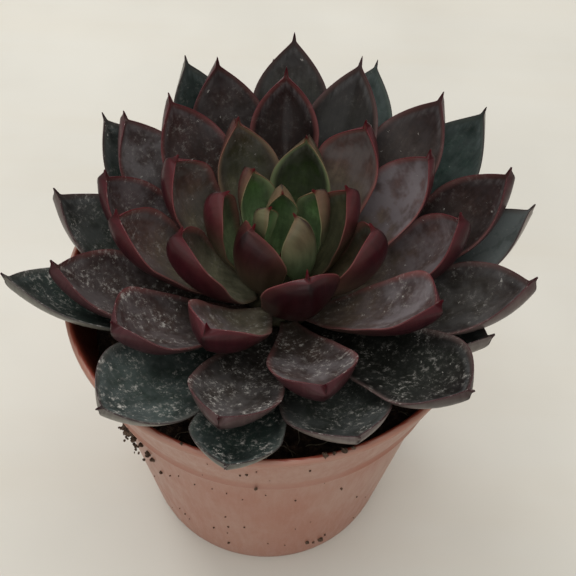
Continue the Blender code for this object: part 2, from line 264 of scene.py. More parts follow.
# how bright a leaf is beside the tints of its age: its own tone together with painted light and shade for how
# it is lit (others 1 to 1.25)
toneAndPaintedLight = {
    5: 0.58, 9: 0.9, 10: 0.55, 11: 0.62, 13: 0.95, 14: 1.15, 15: 1.25, 18: 1.25, 20: 1.15, 21: 1.15,
    22: 0.45, 23: 0.8, 24: 1.1, 26: 1.2, 28: 0.7, 29: 0.7, 30: 0.85, 31: 0.85, 32: 0.9, 33: 0.5,
    35: 0.5, 36: 0.9, 37: 0.95, 39: 1.9, 43: 0.85, 45: 0.8,
}

# leaves that differ in form: broader than the solids, which are kept narrow to lie free,
# wide down to the root, and cupped less than others of their age
fuller = {37: 1.1, 38: 1.3, 45: 1.25}
necks = {10: 0.2}
flatter = {10: 0.55}

# how strongly the waxy bloom shows, together with a painted sheen (others 0.1 to 0.2)
bloomAndSheenShares = {
    13: 0.3, 14: 0.4, 15: 0.5, 16: 0.4, 17: 0.75, 18: 1.1, 19: 0.6, 20: 0.8, 21: 0.5, 22: 0.0, 23: 0.1,
    24: 0.6, 25: 0.35, 26: 0.8, 27: 0.35, 28: 0.1, 29: 0.2, 30: 0.1, 31: 0.35, 32: 0.25, 33: 0.05, 34: 0.25,
    35: 0.05, 36: 0.25, 37: 0.3, 39: 2.4, 42: 0.35, 43: 0.1, 45: 0.1,
}

blade = {
    "bodyRings": 20, "endRings": 18, "spikeRings": 6,
    "topPoints": 23, "underPoints": 17, "seed": 40,
    "pointRound": 0.27,  # half width of the sharp point a millimetre from its end
    "pointThin": 0.3,  # share of the blade's depth that its point keeps
    "edge": 0.5,  # thickness of the rounded margin
    "bead": 0.22, "beadWidth": 1.0,  # the margin stands a little proud of the face
    "groove": 0.35,  # the shallow trough along the middle
    "ripple": 0.16, "waver": 0.014,  # waves in the face, and each margin's wandering
    "ridge": 0.25,  # a low keel under the end of each blade
}


def byAge(number, key):
    return float(np.interp((number - 1) / (len(leaves) - 1), rosette["ages"], rosette[key]))


def crownRadius(height):
    t = max((rosette["crownTop"] - height) / (rosette["crownTop"] - rosette["crownFoot"]), 0.0)
    return blend(rosette["crownTopRadius"], rosette["stemRadius"], min(t, 1.0) ** 0.8)


def midrib(number, drop, bow):
    bearing, reach = leaves[number - 1][:2]
    tipX = reach * math.cos(math.radians(bearing))
    tipY = reach * math.sin(math.radians(bearing))
    tipZ = byAge(number, "tipHeight") - drop + rosette["backLift"] * tipY
    tipY += rosette["dropShift"] * drop
    rootZ = byAge(number, "rootHeight") - rosette["rootDrop"] * drop
    steps = np.linspace(0.0, 1.0, 121)
    curl = math.radians(byAge(number, "curl") + bow)
    rising = ease((steps - rosette["upturnFrom"]) / (1.0 - rosette["upturnFrom"]))
    pitch = curl * steps ** rosette["bend"] + math.radians(byAge(number, "upturn")) * rising
    along, upward = np.cos(pitch), np.sin(pitch)
    x = np.concatenate([[0.0], np.cumsum(along[1:] + along[:-1])]) / (2 * len(steps) - 2)
    z = np.concatenate([[0.0], np.cumsum(upward[1:] + upward[:-1])]) / (2 * len(steps) - 2)
    root = crownRadius(rootZ) + rosette["rootGap"]
    out, rise = math.hypot(tipX, tipY) - root, tipZ - rootZ
    turn = math.atan2(rise, out) - math.atan2(z[-1], x[-1])
    length = math.hypot(out, rise) / math.hypot(x[-1], z[-1])
    radius = root + length * (x * math.cos(turn) - z * math.sin(turn))
    height = rootZ + length * (x * math.sin(turn) + z * math.cos(turn))
    return math.atan2(tipY, tipX), length, steps, radius, height, pitch + turn


def endZone(number):
    # from the widest place to the tip: short on round ended leaves, long on pointed ones
    pointed = ease((leaves[number - 1][3] - 0.55) / 0.3)
    return blend(rosette["roundZone"], byAge(number, "endZone"), pointed) * 0.5 * leaves[number - 1][2]


def halfWidth(number, toTip, length):
    half = 0.5 * leaves[number - 1][2]
    spike = byAge(number, "spike")
    zone = endZone(number)
    t = np.clip((zone - toTip) / (zone - spike), 0.0, 1.0)
    rounded = half * (1.0 - t**2) ** leaves[number - 1][3]
    neck = necks.get(number, byAge(number, "neck"))
    widening = ease((1.0 - toTip / length) / (1.0 - zone / length)) ** neck
    body = half * blend(rosette["rootWidth"], 1.0, widening)
    fine = blade["pointRound"] * toTip**0.75
    ending = (rounded**2.5 + fine**2.5) ** 0.4  # the wider of the two, joined softly
    return np.where(toTip > zone, body, ending)


def depthAt(number, toTip, length, thin):
    full = thin * byAge(number, "thickness")
    share = toTip / (0.8 * leaves[number - 1][2])
    swell = blend(rosette["rootThickness"], 1.0, ease((1.0 - toTip / length) / 0.5))
    end = np.clip(1.0 - (1.0 - np.clip(share, 0.0, 1.0)) ** 2.2, 0.0, 1.0) ** 0.8
    end = end * blend(blade["pointThin"], 1.0, ease((toTip - 0.4) / 3.6))
    return np.maximum(full * swell * end, 0.35 + 0.35 * ease(toTip / 6.0))


def leafStations(number, length):
    # where the rings lie, as distances to the tip: closer together towards it
    zone = endZone(number)
    spike = byAge(number, "spike")
    body = np.linspace(length, zone, blade["bodyRings"] + 1)[:-1]
    left = 1.0 - np.linspace(0.0, 1.0, blade["endRings"] + 1)[:-1]
    ending = zone - (zone - spike) * (1.0 - left**1.7)
    point = spike * (1.0 - np.linspace(0.0, 1.0, blade["spikeRings"] + 1)[:-1]) ** 1.3
    return np.concatenate([body, ending, point])


def growLeaf(number, material):
    drop, roll, bow, thin, swing = settled.get(number, (0.0, 0.0, 0.0, 1.0, 0.0))
    luck = np.random.RandomState(blade["seed"] + number)
    bearing, length, steps, radius, height, pitch = midrib(number, drop, bow)
    toTip = leafStations(number, length)[:, None]
    s = 1.0 - toTip / length
    top = np.sin(0.5 * math.pi * np.linspace(-1.0, 1.0, blade["topPoints"]))
    under = np.sin(0.5 * math.pi * np.linspace(1.0, -1.0, blade["underPoints"] + 2))[1:-1]
    v = np.concatenate([top, under])[None, :]
    lower = np.arange(v.shape[1])[None, :] >= len(top)
    half = blend(1.0, thin, rosette["pinch"]) * fuller.get(number, 1.0) * halfWidth(number, toTip, length)
    away = np.abs(v)
    side = half * v
    # a growing leaf is never quite even: each margin wanders on its own
    phase = luck.uniform(0.0, 6.28, 8)
    body = ease(toTip / 6.0) * ease(s / 0.3)
    left = np.sin(9.0 * s + phase[0]) + 0.6 * np.sin(17.0 * s + phase[1])
    right = np.sin(8.0 * s + phase[2]) + 0.6 * np.sin(19.0 * s + phase[3])
    side = side * (1.0 + blade["waver"] * body * np.where(v > 0, left, right))
    cup = flatter.get(number, 1.0) * byAge(number, "cupping") * blend(0.25, 1.0, ease(s / 0.6))
    lift = cup * half * away**1.8
    lift = lift + blade["bead"] * body * np.exp(-(((1.0 - away) * half / blade["beadWidth"]) ** 2))
    lift = lift - blade["groove"] * body * np.exp(-((v / 0.25) ** 2)) * (half / 10.0)
    wave = np.sin(11.0 * s + phase[4] + 2.0 * v) + 0.7 * np.sin(23.0 * s + phase[5] - 3.0 * v)
    lift = lift + blade["ripple"] * body * away**2 * wave
    # thickness: a rounded margin, a keel below, and a ridge under the point
    edge = 0.5 * np.minimum(blade["edge"], 0.8 * half)
    curve = np.clip((away - (1.0 - 2.0 * edge / half)) / (2.0 * edge / half), 0.0, 1.0)
    curve = np.sqrt(1.0 - curve**2)
    keel = blend(2.6, 1.9, ease((s - 0.7) / 0.3))
    depth = depthAt(number, toTip, length, thin) * (1.0 - away**keel)
    nearTip = ease(toTip / 4.0) * (1.0 - ease((toTip - 4.0) / 8.0))
    depth = depth + blade["ridge"] * nearTip * np.exp(-((v / 0.14) ** 2))
    lift = np.where(lower, lift - depth - edge * (1.0 + curve), lift - edge * (1.0 - curve))
    # laid along the midrib, rolled and with its root aside where it has to lie free
    tilt = math.radians(roll) * ease(s / 0.5)
    lift, side = lift * np.cos(tilt) + side * np.sin(tilt), side * np.cos(tilt) - lift * np.sin(tilt)
    side = side + swing * (1.0 - s) ** 2
    slope = np.interp(s, steps, pitch)
    outward = np.interp(s, steps, radius) - lift * np.sin(slope)
    x = rosette["stemX"] + outward * math.cos(bearing) - side * math.sin(bearing)
    y = rosette["stemY"] + outward * math.sin(bearing) + side * math.cos(bearing)
    z = np.interp(s, steps, height) + lift * np.cos(slope)
    grid = np.stack([x, y, z], axis=-1)
    rings, count = grid.shape[:2]
    tip = [
        rosette["stemX"] + radius[-1] * math.cos(bearing),
        rosette["stemY"] + radius[-1] * math.sin(bearing),
        height[-1] - 0.1,
    ]
    points = np.concatenate([grid.reshape(-1, 3), [tip]]) * mm
    faces = joinRings(rings, count)
    last = (rings - 1) * count
    faces += [(last + i, last + (i + 1) % count, last + count) for i in range(count)]
    faces.append(tuple(range(count))[::-1])
    faces = [face[::-1] for face in faces]
    piece = meshPiece(f"blade_{number:02d}", points, faces, material)
    # what the skin needs to know at each point, with the tip's own value last
    narrowing = np.gradient(half[:, 0], toTip[:, 0])[:, None]
    rim = np.minimum((1.0 - away) * half * np.cos(np.arctan(narrowing)), toTip + 0.0 * v)
    whole = np.ones_like(rim)
    marks = {
        "along": (s * whole, 1.0), "across": (v * whole, 0.0), "rim": (rim, 0.0),
        "toTip": (toTip * whole, 0.0), "under": (lower * whole, 0.0),
    }
    for key, (values, atTip) in marks.items():
        store(piece, key, np.append(values.ravel(), atTip))
    aside = 37.0 * number  # no two leaves share a piece of the pattern
    skin = np.stack([s * length * whole, half * v + aside, 50.0 * lower * whole], axis=-1)
    storeVector(piece, "skin", np.concatenate([skin.reshape(-1, 3), [[length, aside, 0.0]]]))
    age = (number - 1) / (len(leaves) - 1)
    facing = 0.5 - 0.5 * math.sin(bearing + 0.5)  # dust lies thickest at the front
    traits = {
        "age": age,
        # brightness: the leaf's own tone with painted light and shade
        "toneAndLight": toneAndPaintedLight.get(number, luck.uniform(1.0, 1.25)),
        "green": greened.get(number, 0.0),
        # strength of the waxy bloom together with its painted sheen
        "silverSheen": bloomAndSheenShares.get(number, 0.1 + 0.1 * float(ease(age / 0.4))),
        "dust": float(ease(age / 0.5)) * blend(0.05, 1.0, facing**1.3),
    }
    for key, value in traits.items():
        store(piece, key, np.full(len(points), value))
    return piece


# leaf skin: tints by the leaf's age, then margins, point, bloom and dust

leafLook = {
    "face": {0.0: (84, 70, 50), 0.1: (70, 50, 42), 0.2: (50, 28, 26), 0.28: (68, 48, 42), 0.36: (72, 51, 46),
             0.46: (52, 38, 34), 0.6: (56, 44, 40), 0.75: (48, 52, 46), 1.0: (37, 52, 47)},
    "green": {0.0: (84, 120, 66), 0.1: (72, 106, 56), 0.2: (28, 50, 10), 0.26: (40, 48, 20)},
    # the root tint: pale on young leaves; on old leaves darker, as painted shade where the leaves above cover
    # the root
    "root": {0.0: (140, 168, 118), 0.11: (138, 164, 118), 0.15: (104, 104, 78), 0.18: (98, 84, 64),
             0.217: (118, 140, 94), 0.235: (122, 120, 98), 0.3: (124, 120, 98), 0.4: (84, 72, 60),
             0.5: (56, 46, 38), 0.6: (44, 38, 32), 0.8: (36, 38, 34), 1.0: (28, 36, 32)},
    # the end tint: darker and redder, partly the leaf's own colour and partly painted shade of the cupped
    # blade
    "end": {0.0: (74, 84, 48), 0.1: (64, 56, 36), 0.2: (36, 36, 16), 0.24: (50, 26, 20),
            0.28: (54, 26, 22), 0.46: (44, 20, 20), 0.6: (46, 25, 25), 0.8: (36, 34, 33),
            1.0: (31, 40, 37)},
    "margin": {0.0: (150, 130, 104), 0.1: (146, 104, 90), 0.2: (140, 92, 84), 0.3: (136, 88, 82),
               0.46: (120, 72, 70), 0.6: (104, 72, 68), 0.8: (94, 86, 82), 1.0: (92, 101, 95)},
    "greenMargin": (154, 170, 126),
    "edge": {0.0: (110, 60, 52), 0.2: (98, 30, 38), 0.34: (90, 24, 32), 0.5: (76, 22, 30),
             0.75: (60, 30, 34), 1.0: (48, 40, 40)},
    "greenEdge": (112, 86, 62),
    "back": {0.0: (88, 84, 62), 0.06: (90, 66, 54), 0.087: (60, 24, 27), 0.14: (66, 28, 32),
             0.18: (50, 11, 18), 0.3: (46, 12, 18), 0.45: (48, 20, 25), 0.58: (68, 46, 48),
             0.75: (108, 98, 94), 1.0: (128, 128, 118)},
    "backRoot": {0.0: (102, 124, 90), 0.06: (98, 114, 84), 0.087: (92, 78, 60), 0.14: (98, 92, 70),
                 0.2: (56, 20, 25), 0.35: (68, 44, 42), 0.6: (96, 88, 76), 1.0: (116, 120, 106)},
    "keel": (30, 12, 14),
    "point": {0.0: (82, 14, 22), 0.3: (76, 12, 22), 0.55: (58, 12, 22), 0.8: (44, 18, 24),
              1.0: (38, 22, 26)},
    # the tint of the waxy bloom, also used for the painted sheen and highlight
    "bloomAndSheen": {0.2: (112, 118, 104), 0.35: (120, 112, 114), 0.6: (116, 112, 112), 0.9: (104, 114, 112)},
    "dust": (196, 192, 184), "film": 0.42, "flecks": 0.8,  # how strongly dust film and dried drops show
    "fleckSizes": ((0.4, 0.12, 0.272), (0.9, 0.1, 0.32), (2.0, 0.12, 0.4)),  # scale, least and most reach
    "roughness": (0.32, 0.48), "specular": 0.12, "coat": 0.15, "coatRoughness": 0.18,
    "relief": 0.16,  # millimetres
}


def makeLeafSkin(name, dustiness):
    material, tree, shader = newMaterial(name)
    age, dust = read(tree, "age"), read(tree, "dust")
    along, across, rim = read(tree, "along"), read(tree, "across"), read(tree, "rim")
    toTip, under = read(tree, "toTip"), read(tree, "under")
    skin = read(tree, "skin", "Vector")
    upper = calc(tree, "SUBTRACT", 1.0, under)
    aside = calc(tree, "ABSOLUTE", across)
    patches = grain(tree, skin, 0.16, 3.0, 0.6)
    streaks = grain(tree, skin, 0.9, 3.0, 0.6, (0.16, 1.0, 1.0))
    pores = grain(tree, skin, 3.2, 2.0, 0.5)

    def aged(key):
        return ramp(tree, age, leafLook[key])

    # face: the root tint by the root, pale on young leaves and painted shade on old ones; darker and redder
    # towards the end and the sides, partly the leaf's own colour and partly painted shade
    place = calc(tree, "ADD", along, times(tree, calc(tree, "SUBTRACT", patches, 0.5), 0.24))
    # on old leaves the root tint, which is painted shade, covers a shorter part
    ripe = calc(tree, "ADD", place, times(tree, age, 0.32))  # old leaves stay pale at the root only
    middle = mix(tree, read(tree, "green"), aged("face"), aged("green"))
    face = mix(tree, fade(tree, ripe, 0.34, 0.84), aged("root"), middle)
    # towards the sides and the end the face takes the end tint, partly its own colour and partly painted
    # shade
    outer = times(tree, fade(tree, aside, 0.5, 0.95, 0.0, 0.7), fade(tree, along, 0.35, 0.65))
    outer = calc(tree, "MAXIMUM", outer, fade(tree, place, 0.66, 0.98))
    face = mix(tree, outer, face, aged("end"))
    hollows = fade(tree, grain(tree, skin, 0.085, 3.0, 0.55), 0.34, 0.66, 0.7, 1.26)
    mottle = fade(tree, grain(tree, skin, 0.5, 6.0, 0.7), 0.32, 0.68, 0.82, 1.18)
    # painted shade: the face darker towards the sides, as on a cupped blade, and uneven in blotches
    face = dim(tree, face, times(tree, fade(tree, aside, 0.45, 0.95, 1.0, 0.8), hollows, mottle))

    # back: its own tints, with a dark keel near the point
    back = mix(tree, fade(tree, along, 0.3, 0.8), aged("backRoot"), aged("back"))
    keel = times(tree, fade(tree, aside, 0.32, 0.0), fade(tree, toTip, 9.0, 2.0))
    back = mix(tree, keel, back, paint(*leafLook["keel"]))
    color = mix(tree, under, face, back)
    color = dim(tree, color, fade(tree, streaks, 0.25, 0.75, 0.8, 1.2))
    # painted light and shade: each leaf made brighter or darker, its own tone together with how it is lit
    color = dim(tree, color, read(tree, "toneAndLight"))

    # waxy bloom with painted sheen, in soft uneven patches over the middle of the face, and a painted
    # highlight inside the margin by the end
    silverSheen = aged("bloomAndSheen")
    bloomAndSheen = times(
        tree, fade(tree, patches, 0.36, 0.64, 0.25, 1.1), upper, fade(tree, along, 0.25, 0.6, 0.2, 1.0),
        fade(tree, toTip, 0.0, 9.0, 0.3, 1.0), read(tree, "silverSheen"),
    )
    color = mix(tree, bloomAndSheen, color, silverSheen)
    # painted highlight: a pale band inside the margin near the end, where the curved lip would catch the
    # light
    paintedLipHighlight = times(
        tree, fade(tree, rim, 3.4, 1.7), fade(tree, rim, 0.8, 1.6), fade(tree, toTip, 18.0, 7.0),
        upper, fade(tree, streaks, 0.3, 0.7, 0.1, 0.4),
    )
    color = mix(tree, paintedLipHighlight, color, silverSheen)

    # margins: a pale band that the light shines through, with a fine dark red edge
    green = fade(tree, read(tree, "green"), 0.6, 1.0)
    band = times(
        tree, fade(tree, calc(tree, "ADD", rim, times(tree, patches, 0.6)), 2.1, 0.5),
        fade(tree, along, 0.12, 0.5, 0.25, 0.75), fade(tree, under, 0.0, 1.0, 1.0, 0.15),
        fade(tree, toTip, 2.0, 6.0, 0.3, 1.0),
    )
    color = mix(tree, band, color, mix(tree, green, aged("margin"), paint(*leafLook["greenMargin"])))
    line = times(
        tree, fade(tree, rim, 0.42, 0.12), fade(tree, along, 0.5, 0.9, 0.1, 0.85),
        fade(tree, under, 0.0, 1.0, 1.0, 0.35),
    )
    color = mix(tree, line, color, mix(tree, green, aged("edge"), paint(*leafLook["greenEdge"])))
    color = mix(tree, fade(tree, toTip, 2.2, 0.8, 0.0, 0.92), color, aged("point"))

    # dust and dried drops: irregular flecks of three sizes, more of them on some leaves
    jitter = put(tree, "ShaderNodeTexNoise", {"Vector": skin, "Scale": 2.2, "Detail": 3.0}).outputs["Color"]
    sockets = {0: jitter, 1: (1.7, 1.7, 0.0), 2: skin}
    shifted = put(tree, "ShaderNodeVectorMath", sockets, operation="MULTIPLY_ADD").outputs[0]
    gathered = times(tree, dust, fade(tree, grain(tree, skin, 0.17, 4.0, 0.6), 0.4, 0.66, 0.1, 2.1))
    amount = times(tree, gathered, dustiness)
    flecks = 0.0
    for scale, least, most in leafLook["fleckSizes"]:
        sockets = {"Vector": shifted, "Scale": scale, "Randomness": 1.0}
        cells = put(tree, "ShaderNodeTexVoronoi", sockets).outputs
        chosen = put(tree, "ShaderNodeSeparateColor", {0: cells["Color"]}).outputs
        reach = fade(tree, chosen[1], 0.0, 1.0, least, most)
        spot = fade(tree, calc(tree, "SUBTRACT", reach, cells["Distance"]), 0.0, 0.2)
        few = calc(tree, "LESS_THAN", chosen[0], amount)
        flecks = calc(tree, "MAXIMUM", flecks, times(tree, spot, few, chosen[2]))
    flecks = times(tree, flecks, upper)
    film = times(tree, fade(tree, grain(tree, skin, 0.7, 7.0, 0.78), 0.5, 0.64), gathered, upper)
    color = mix(tree, times(tree, film, leafLook["film"]), color, paint(*leafLook["dust"]))
    color = mix(tree, times(tree, flecks, leafLook["flecks"]), color, paint(*leafLook["dust"]))

    rough = fade(tree, patches, 0.2, 0.8, *leafLook["roughness"])
    relief = calc(tree, "ADD", times(tree, pores, 0.35), times(tree, streaks, 0.65))
    relief = calc(tree, "ADD", relief, times(tree, flecks, 0.5))
    plug(tree, shader, {
        "Base Color": color,
        "Roughness": calc(tree, "ADD", rough, times(tree, flecks, 0.3), clamp=True),
        "Normal": bump(tree, relief, leafLook["relief"], 0.5),
        "Specular IOR Level": leafLook["specular"],
        "Coat Weight": leafLook["coat"], "Coat Roughness": leafLook["coatRoughness"],
    })
    return material


print("leaves: 47 blades with margins and points")
skins = {
    "leaf_young": makeLeafSkin("youngLeafSkin", 0.16),
    "leaf_middle": makeLeafSkin("middleLeafSkin", 0.28),
    "leaf_old": makeLeafSkin("oldLeafSkin", 0.3),
}
for number in range(1, len(leaves) + 1):
    old = "leaf_middle" if number <= rosette["middle"] else "leaf_old"
    slot = "leaf_young" if number <= rosette["youngest"] else old
    leaf = growLeaf(number, skins[slot])
    node = f"leaf_{number:02d}"
    spots = np.array([v.co for v in leaf.data.vertices])
    off = np.abs(np.array([spots.min(0), spots.max(0)]) - np.array(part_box(node))).max()
    if off > rosette["boxSlack"]:
        print(f"{leaf.name} stands {off / mm:.1f} mm off its solid")
    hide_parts(node)
    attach(leaf, "root")


# bud and stem

budForm = {
    "foot": 93.1, "height": 9.0, "radius": 1.25, "rings": 22, "sides": 32,
    "lobes": 3, "lobeDepth": 0.14, "twist": 1.2,
    "outline": ((0, 0.1, 0.38, 0.72, 0.95, 1.0), (0.6, 0.9, 1.0, 0.7, 0.22, 0.04)),  # height, width
    "tints": {0.0: (70, 100, 48), 0.6: (58, 74, 34), 0.85: (104, 44, 44), 1.0: (120, 20, 38)},
    "pale": (108, 124, 78), "roughness": 0.42,
}
stemForm = {
    "foot": 50.0, "rings": 44, "sides": 64, "scars": 0.5,
    # the stem's own colour, darkened as painted shade where the leaves cover it
    "tints": {0.3: (36, 32, 22), 0.5: (58, 56, 36), 0.7: (82, 76, 52)}, "roughness": 0.75,
}


def stemRing(radius, height, turns):
    x = rosette["stemX"] + radius * np.cos(turns)
    y = rosette["stemY"] + radius * np.sin(turns)
    return list(zip(x, y, 0.0 * turns + height))


def makeBud():
    material, tree, shader = newMaterial("budSkin")
    place = millimetres(tree)
    up = put(tree, "ShaderNodeSeparateXYZ", {0: place}).outputs[2]
    color = ramp(tree, fade(tree, up, budForm["foot"], budForm["foot"] + budForm["height"]), budForm["tints"])
    soft = grain(tree, place, 1.4, 3.0)
    color = mix(tree, fade(tree, soft, 0.3, 0.8, 0.0, 0.35), color, paint(*budForm["pale"]))
    plug(tree, shader, {
        "Base Color": color, "Roughness": budForm["roughness"], "Normal": bump(tree, soft, 0.1, 0.5),
    })
    turns = around(budForm["sides"])
    points = []
    for t in np.linspace(0.0, 1.0, budForm["rings"]):
        lobe = 1.0 + budForm["lobeDepth"] * np.cos(budForm["lobes"] * turns + budForm["twist"] * t)
        radius = budForm["radius"] * np.interp(t, *budForm["outline"]) * lobe
        points += stemRing(radius, budForm["foot"] + budForm["height"] * t, turns)
    return meshPiece("heartBud", np.array(points) * mm, tube(budForm["rings"], budForm["sides"]), material)


def makeStem():
    material, tree, shader = newMaterial("stemSkin")
    rough = grain(tree, millimetres(tree), 0.6, 6.0, 0.65)
    plug(tree, shader, {
        "Base Color": ramp(tree, rough, stemForm["tints"]), "Roughness": stemForm["roughness"],
        "Normal": bump(tree, rough, 0.5, 0.8),
    })
    foot, top = stemForm["foot"], rosette["crownTop"]
    rings = [(foot, 0.8), (foot + 0.3, 0.2), (foot + 1.0, 0.0)]  # height, and how far the foot is rounded in
    rings += [(z, 0.0) for z in np.linspace(foot + 3.0, top, stemForm["rings"])]
    turns = around(stemForm["sides"])
    points = []
    for z, inset in rings:
        scar = 0.35 * np.sin(1.9 * z + 5.0 * turns) * np.sin(0.7 * z - 3.0 * turns)
        deep = stemForm["scars"] if z < top - 0.5 else 0.0
        radius = min(crownRadius(z), rosette["stemRadius"]) - inset - 0.2 + deep * np.minimum(scar, 0.3)
        points += stemRing(radius, z, turns)
    return meshPiece("stemBody", np.array(points) * mm, tube(len(rings), stemForm["sides"]), material)


print("bud and stem")
for piece, node, slot in ((makeBud(), "bud", "leaf_young"), (makeStem(), "stem", "stem_skin")):
    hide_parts(node)
    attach(piece, "root")


# the pot

potForm = {
    "height": 91.4, "rimRadius": 52.5, "collarDepth": 24.5, "collarFoot": 46.8, "step": 0.7,
    "baseRadius": 37.6, "wall": 1.6, "floor": 2.0, "steps": 176,
    "flare": 0.35, "bead": 0.45,  # the collar's foot stands out, with a fine raised line
    "drainCount": 6, "drainRadius": 4.0, "drainCircle": 26.0,
}
potLook = {
    "shell": (164, 123, 107), "warm": (158, 107, 89), "pale": (182, 146, 130), "dark": (120, 74, 60),
    "inner": (132, 60, 44), "roughness": (0.36, 0.56), "specular": 0.45,
}
collarZ = potForm["height"] - potForm["collarDepth"]  # where the collar starts


def arc(centreX, centreZ, radius, start, end, count):
    angles = np.radians(np.linspace(start, end, count))
    return [(centreX + radius * math.cos(a), centreZ + radius * math.sin(a)) for a in angles]


def bodyRadius(z):
    return blend(potForm["baseRadius"], potForm["collarFoot"] - potForm["step"], z / collarZ)


def innerRadius(z):
    if z <= collarZ:
        return bodyRadius(z) - potForm["wall"]
    low = bodyRadius(collarZ) - potForm["wall"]
    return blend(low, potForm["rimRadius"] - potForm["wall"], (z - collarZ) / potForm["collarDepth"])


def outerRadius(z):
    heights = (0.0, collarZ, collarZ + 0.3, potForm["height"])
    collar = potForm["collarFoot"] + potForm["flare"]
    return np.interp(z, heights, (potForm["baseRadius"], bodyRadius(collarZ), collar, potForm["rimRadius"]))


def makePot():
    material, tree, shader = newMaterial("terracottaPlastic")
    place = millimetres(tree)
    inner = read(tree, "inner")
    cloud = grain(tree, place, 0.035, 4.0, 0.55)
    fine = grain(tree, place, 1.3, 4.0, 0.6)
    scuffs = grain(tree, place, 0.5, 5.0, 0.7, (1.0, 1.0, 0.14))
    up = put(tree, "ShaderNodeSeparateXYZ", {0: place}).outputs[2]
    color = mix(tree, fade(tree, cloud, 0.35, 0.65), paint(*potLook["shell"]), paint(*potLook["warm"]))
    # painted shade: the wall darker and warmer towards the bottom
    color = mix(tree, fade(tree, up, 26.0, 0.0, 0.0, 0.5), color, paint(*potLook["warm"]))
    color = mix(tree, fade(tree, scuffs, 0.58, 0.78, 0.0, 0.35), color, paint(*potLook["pale"]))
    color = mix(tree, fade(tree, fine, 0.62, 0.8, 0.0, 0.25), color, paint(*potLook["dark"]))
    plug(tree, shader, {
        "Base Color": mix(tree, inner, color, paint(*potLook["inner"])),
        "Roughness": fade(tree, scuffs, 0.3, 0.8, *potLook["roughness"]),
        "Normal": bump(tree, fine, 0.05, 0.5), "Specular IOR Level": potLook["specular"],
    })

    # half of the section, from the lip down the outside and up again on the inside
    high, rim, base = potForm["height"], potForm["rimRadius"], potForm["baseRadius"]
    foot, collar, floor = collarZ, potForm["collarFoot"] + potForm["flare"], potForm["floor"]
    profile = arc(rim - 0.8, high - 0.8, 0.8, 90, 0, 7)  # the lip, rounded outwards
    profile += [(rim, high - 1.6), (rim - 0.25, high - 2.2), (blend(collar, rim, 0.8) - 0.05, high - 5.5)]
    for t in (0.66, 0.5, 0.34, 0.18):  # the collar, a little hollow
        wide = blend(collar, rim, t) - 0.15 * math.sin(math.pi * t)
        profile.append((wide, foot + 3.0 + (potForm["collarDepth"] - 6.0) * t))
    profile += [(collar - 0.1, foot + 3.1), (collar + 0.1, foot + 2.4)]
    profile += arc(collar, foot + 1.75, potForm["bead"], 60, -60, 5)  # the fine raised line
    profile += [(collar - 0.25, foot + 0.9), (bodyRadius(foot) + 0.35, foot + 0.25)]
    profile.append((bodyRadius(foot), foot - 0.3))
    profile += [(bodyRadius(z), z) for z in np.linspace(foot - 1.5, 3.0, 12)]
    profile += arc(base - 0.9, 0.9, 0.9, 0, -90, 5)
    profile += [(base - 3.0, 0.0), (base - 3.6, 0.5), (14.0, 0.5), (0.0, 0.5)]
    profile += [(0.0, floor), (20.0, floor), (innerRadius(3.0) - 1.0, floor)]
    profile += [(innerRadius(z), z) for z in (3.0, 30.0, 60.0, foot, *np.linspace(foot + 1.0, high - 1.0, 8))]
    profile += [(innerRadius(high) + 0.15, high - 0.25), (innerRadius(high) + 0.5, high), profile[0]]
    edges = [(i, i + 1) for i in range(len(profile) - 1)]
    mesh = bpy.data.meshes.new("potShell")
    mesh.from_pydata([(x * mm, 0.0, z * mm) for x, z in profile], edges, [])
    mesh.materials.append(material)
    pot = bpy.data.objects.new("potShell", mesh)
    bpy.context.scene.collection.objects.link(pot)
    turn = pot.modifiers.new("turn", "SCREW")
    turn.steps = turn.render_steps = potForm["steps"]
    turn.use_merge_vertices = True
    turn.merge_threshold = 0.01 * mm
    turn.use_smooth_shade = True
    drills = bmesh.new()
    bore = potForm["drainRadius"] * mm
    for i in range(potForm["drainCount"]):
        angle = 2.0 * math.pi * (i + 0.5) / potForm["drainCount"]
        spot = Vector((math.cos(angle), math.sin(angle), 0.0)) * potForm["drainCircle"] * mm
        drill = bmesh.ops.create_cone(
            drills, cap_ends=True, segments=32, radius1=bore, radius2=bore, depth=8.0 * mm)
        bmesh.ops.translate(drills, verts=drill["verts"], vec=spot)
    drillMesh = bpy.data.meshes.new("drainDrill")
    drills.to_mesh(drillMesh)
    drills.free()
    cutter = bpy.data.objects.new("drainDrill", drillMesh)
    bpy.context.scene.collection.objects.link(cutter)
    cut = pot.modifiers.new("drainHoles", "BOOLEAN")
    cut.operation = "DIFFERENCE"
    cut.object = cutter
    finishMesh(pot)
    bpy.data.objects.remove(cutter)
    spots = np.array([v.co for v in pot.data.vertices]) / mm
    reach = np.hypot(spots[:, 0], spots[:, 1])
    inside = (reach < outerRadius(spots[:, 2]) - 0.5 * potForm["wall"]) & (spots[:, 2] > 1.5)
    store(pot, "inner", inside.astype(float))
    pot.data.shade_smooth()
    pot.data.set_sharp_from_angle(angle=math.radians(38))
    return pot


print("pot")
pot = makePot()
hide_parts("pot")
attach(pot, "root")


# soil, crumbs and root fibres

soilForm = {
    "level": 75.0, "dish": 1.0, "lump": 0.5, "clods": 0.27, "rings": 46, "steps": 160, "seed": 7,
    "holeFoot": 49.7,  # the stem stands in a round hole
}
crumbForm = {
    "count": 420, "zone": (10.5, 47.0), "least": 0.5, "most": 2.5,
    "specks": 34, "clump": 1.5,  # crumbs on the wall above this size are clumps
    "bits": 9, "bitSize": (0.4, 1.1), "bitSpread": 0.42, "clumpShare": 0.7,
    "broken": 0.28, "rough": 0.16, "placeSeed": 3, "soilSeed": 5, "wallSeed": 9,
}
fibreForm = {"points": 14, "step": 0.85, "wander": 0.35, "reach": 46.0, "thick": (0.09, 0.15), "seed": 21}
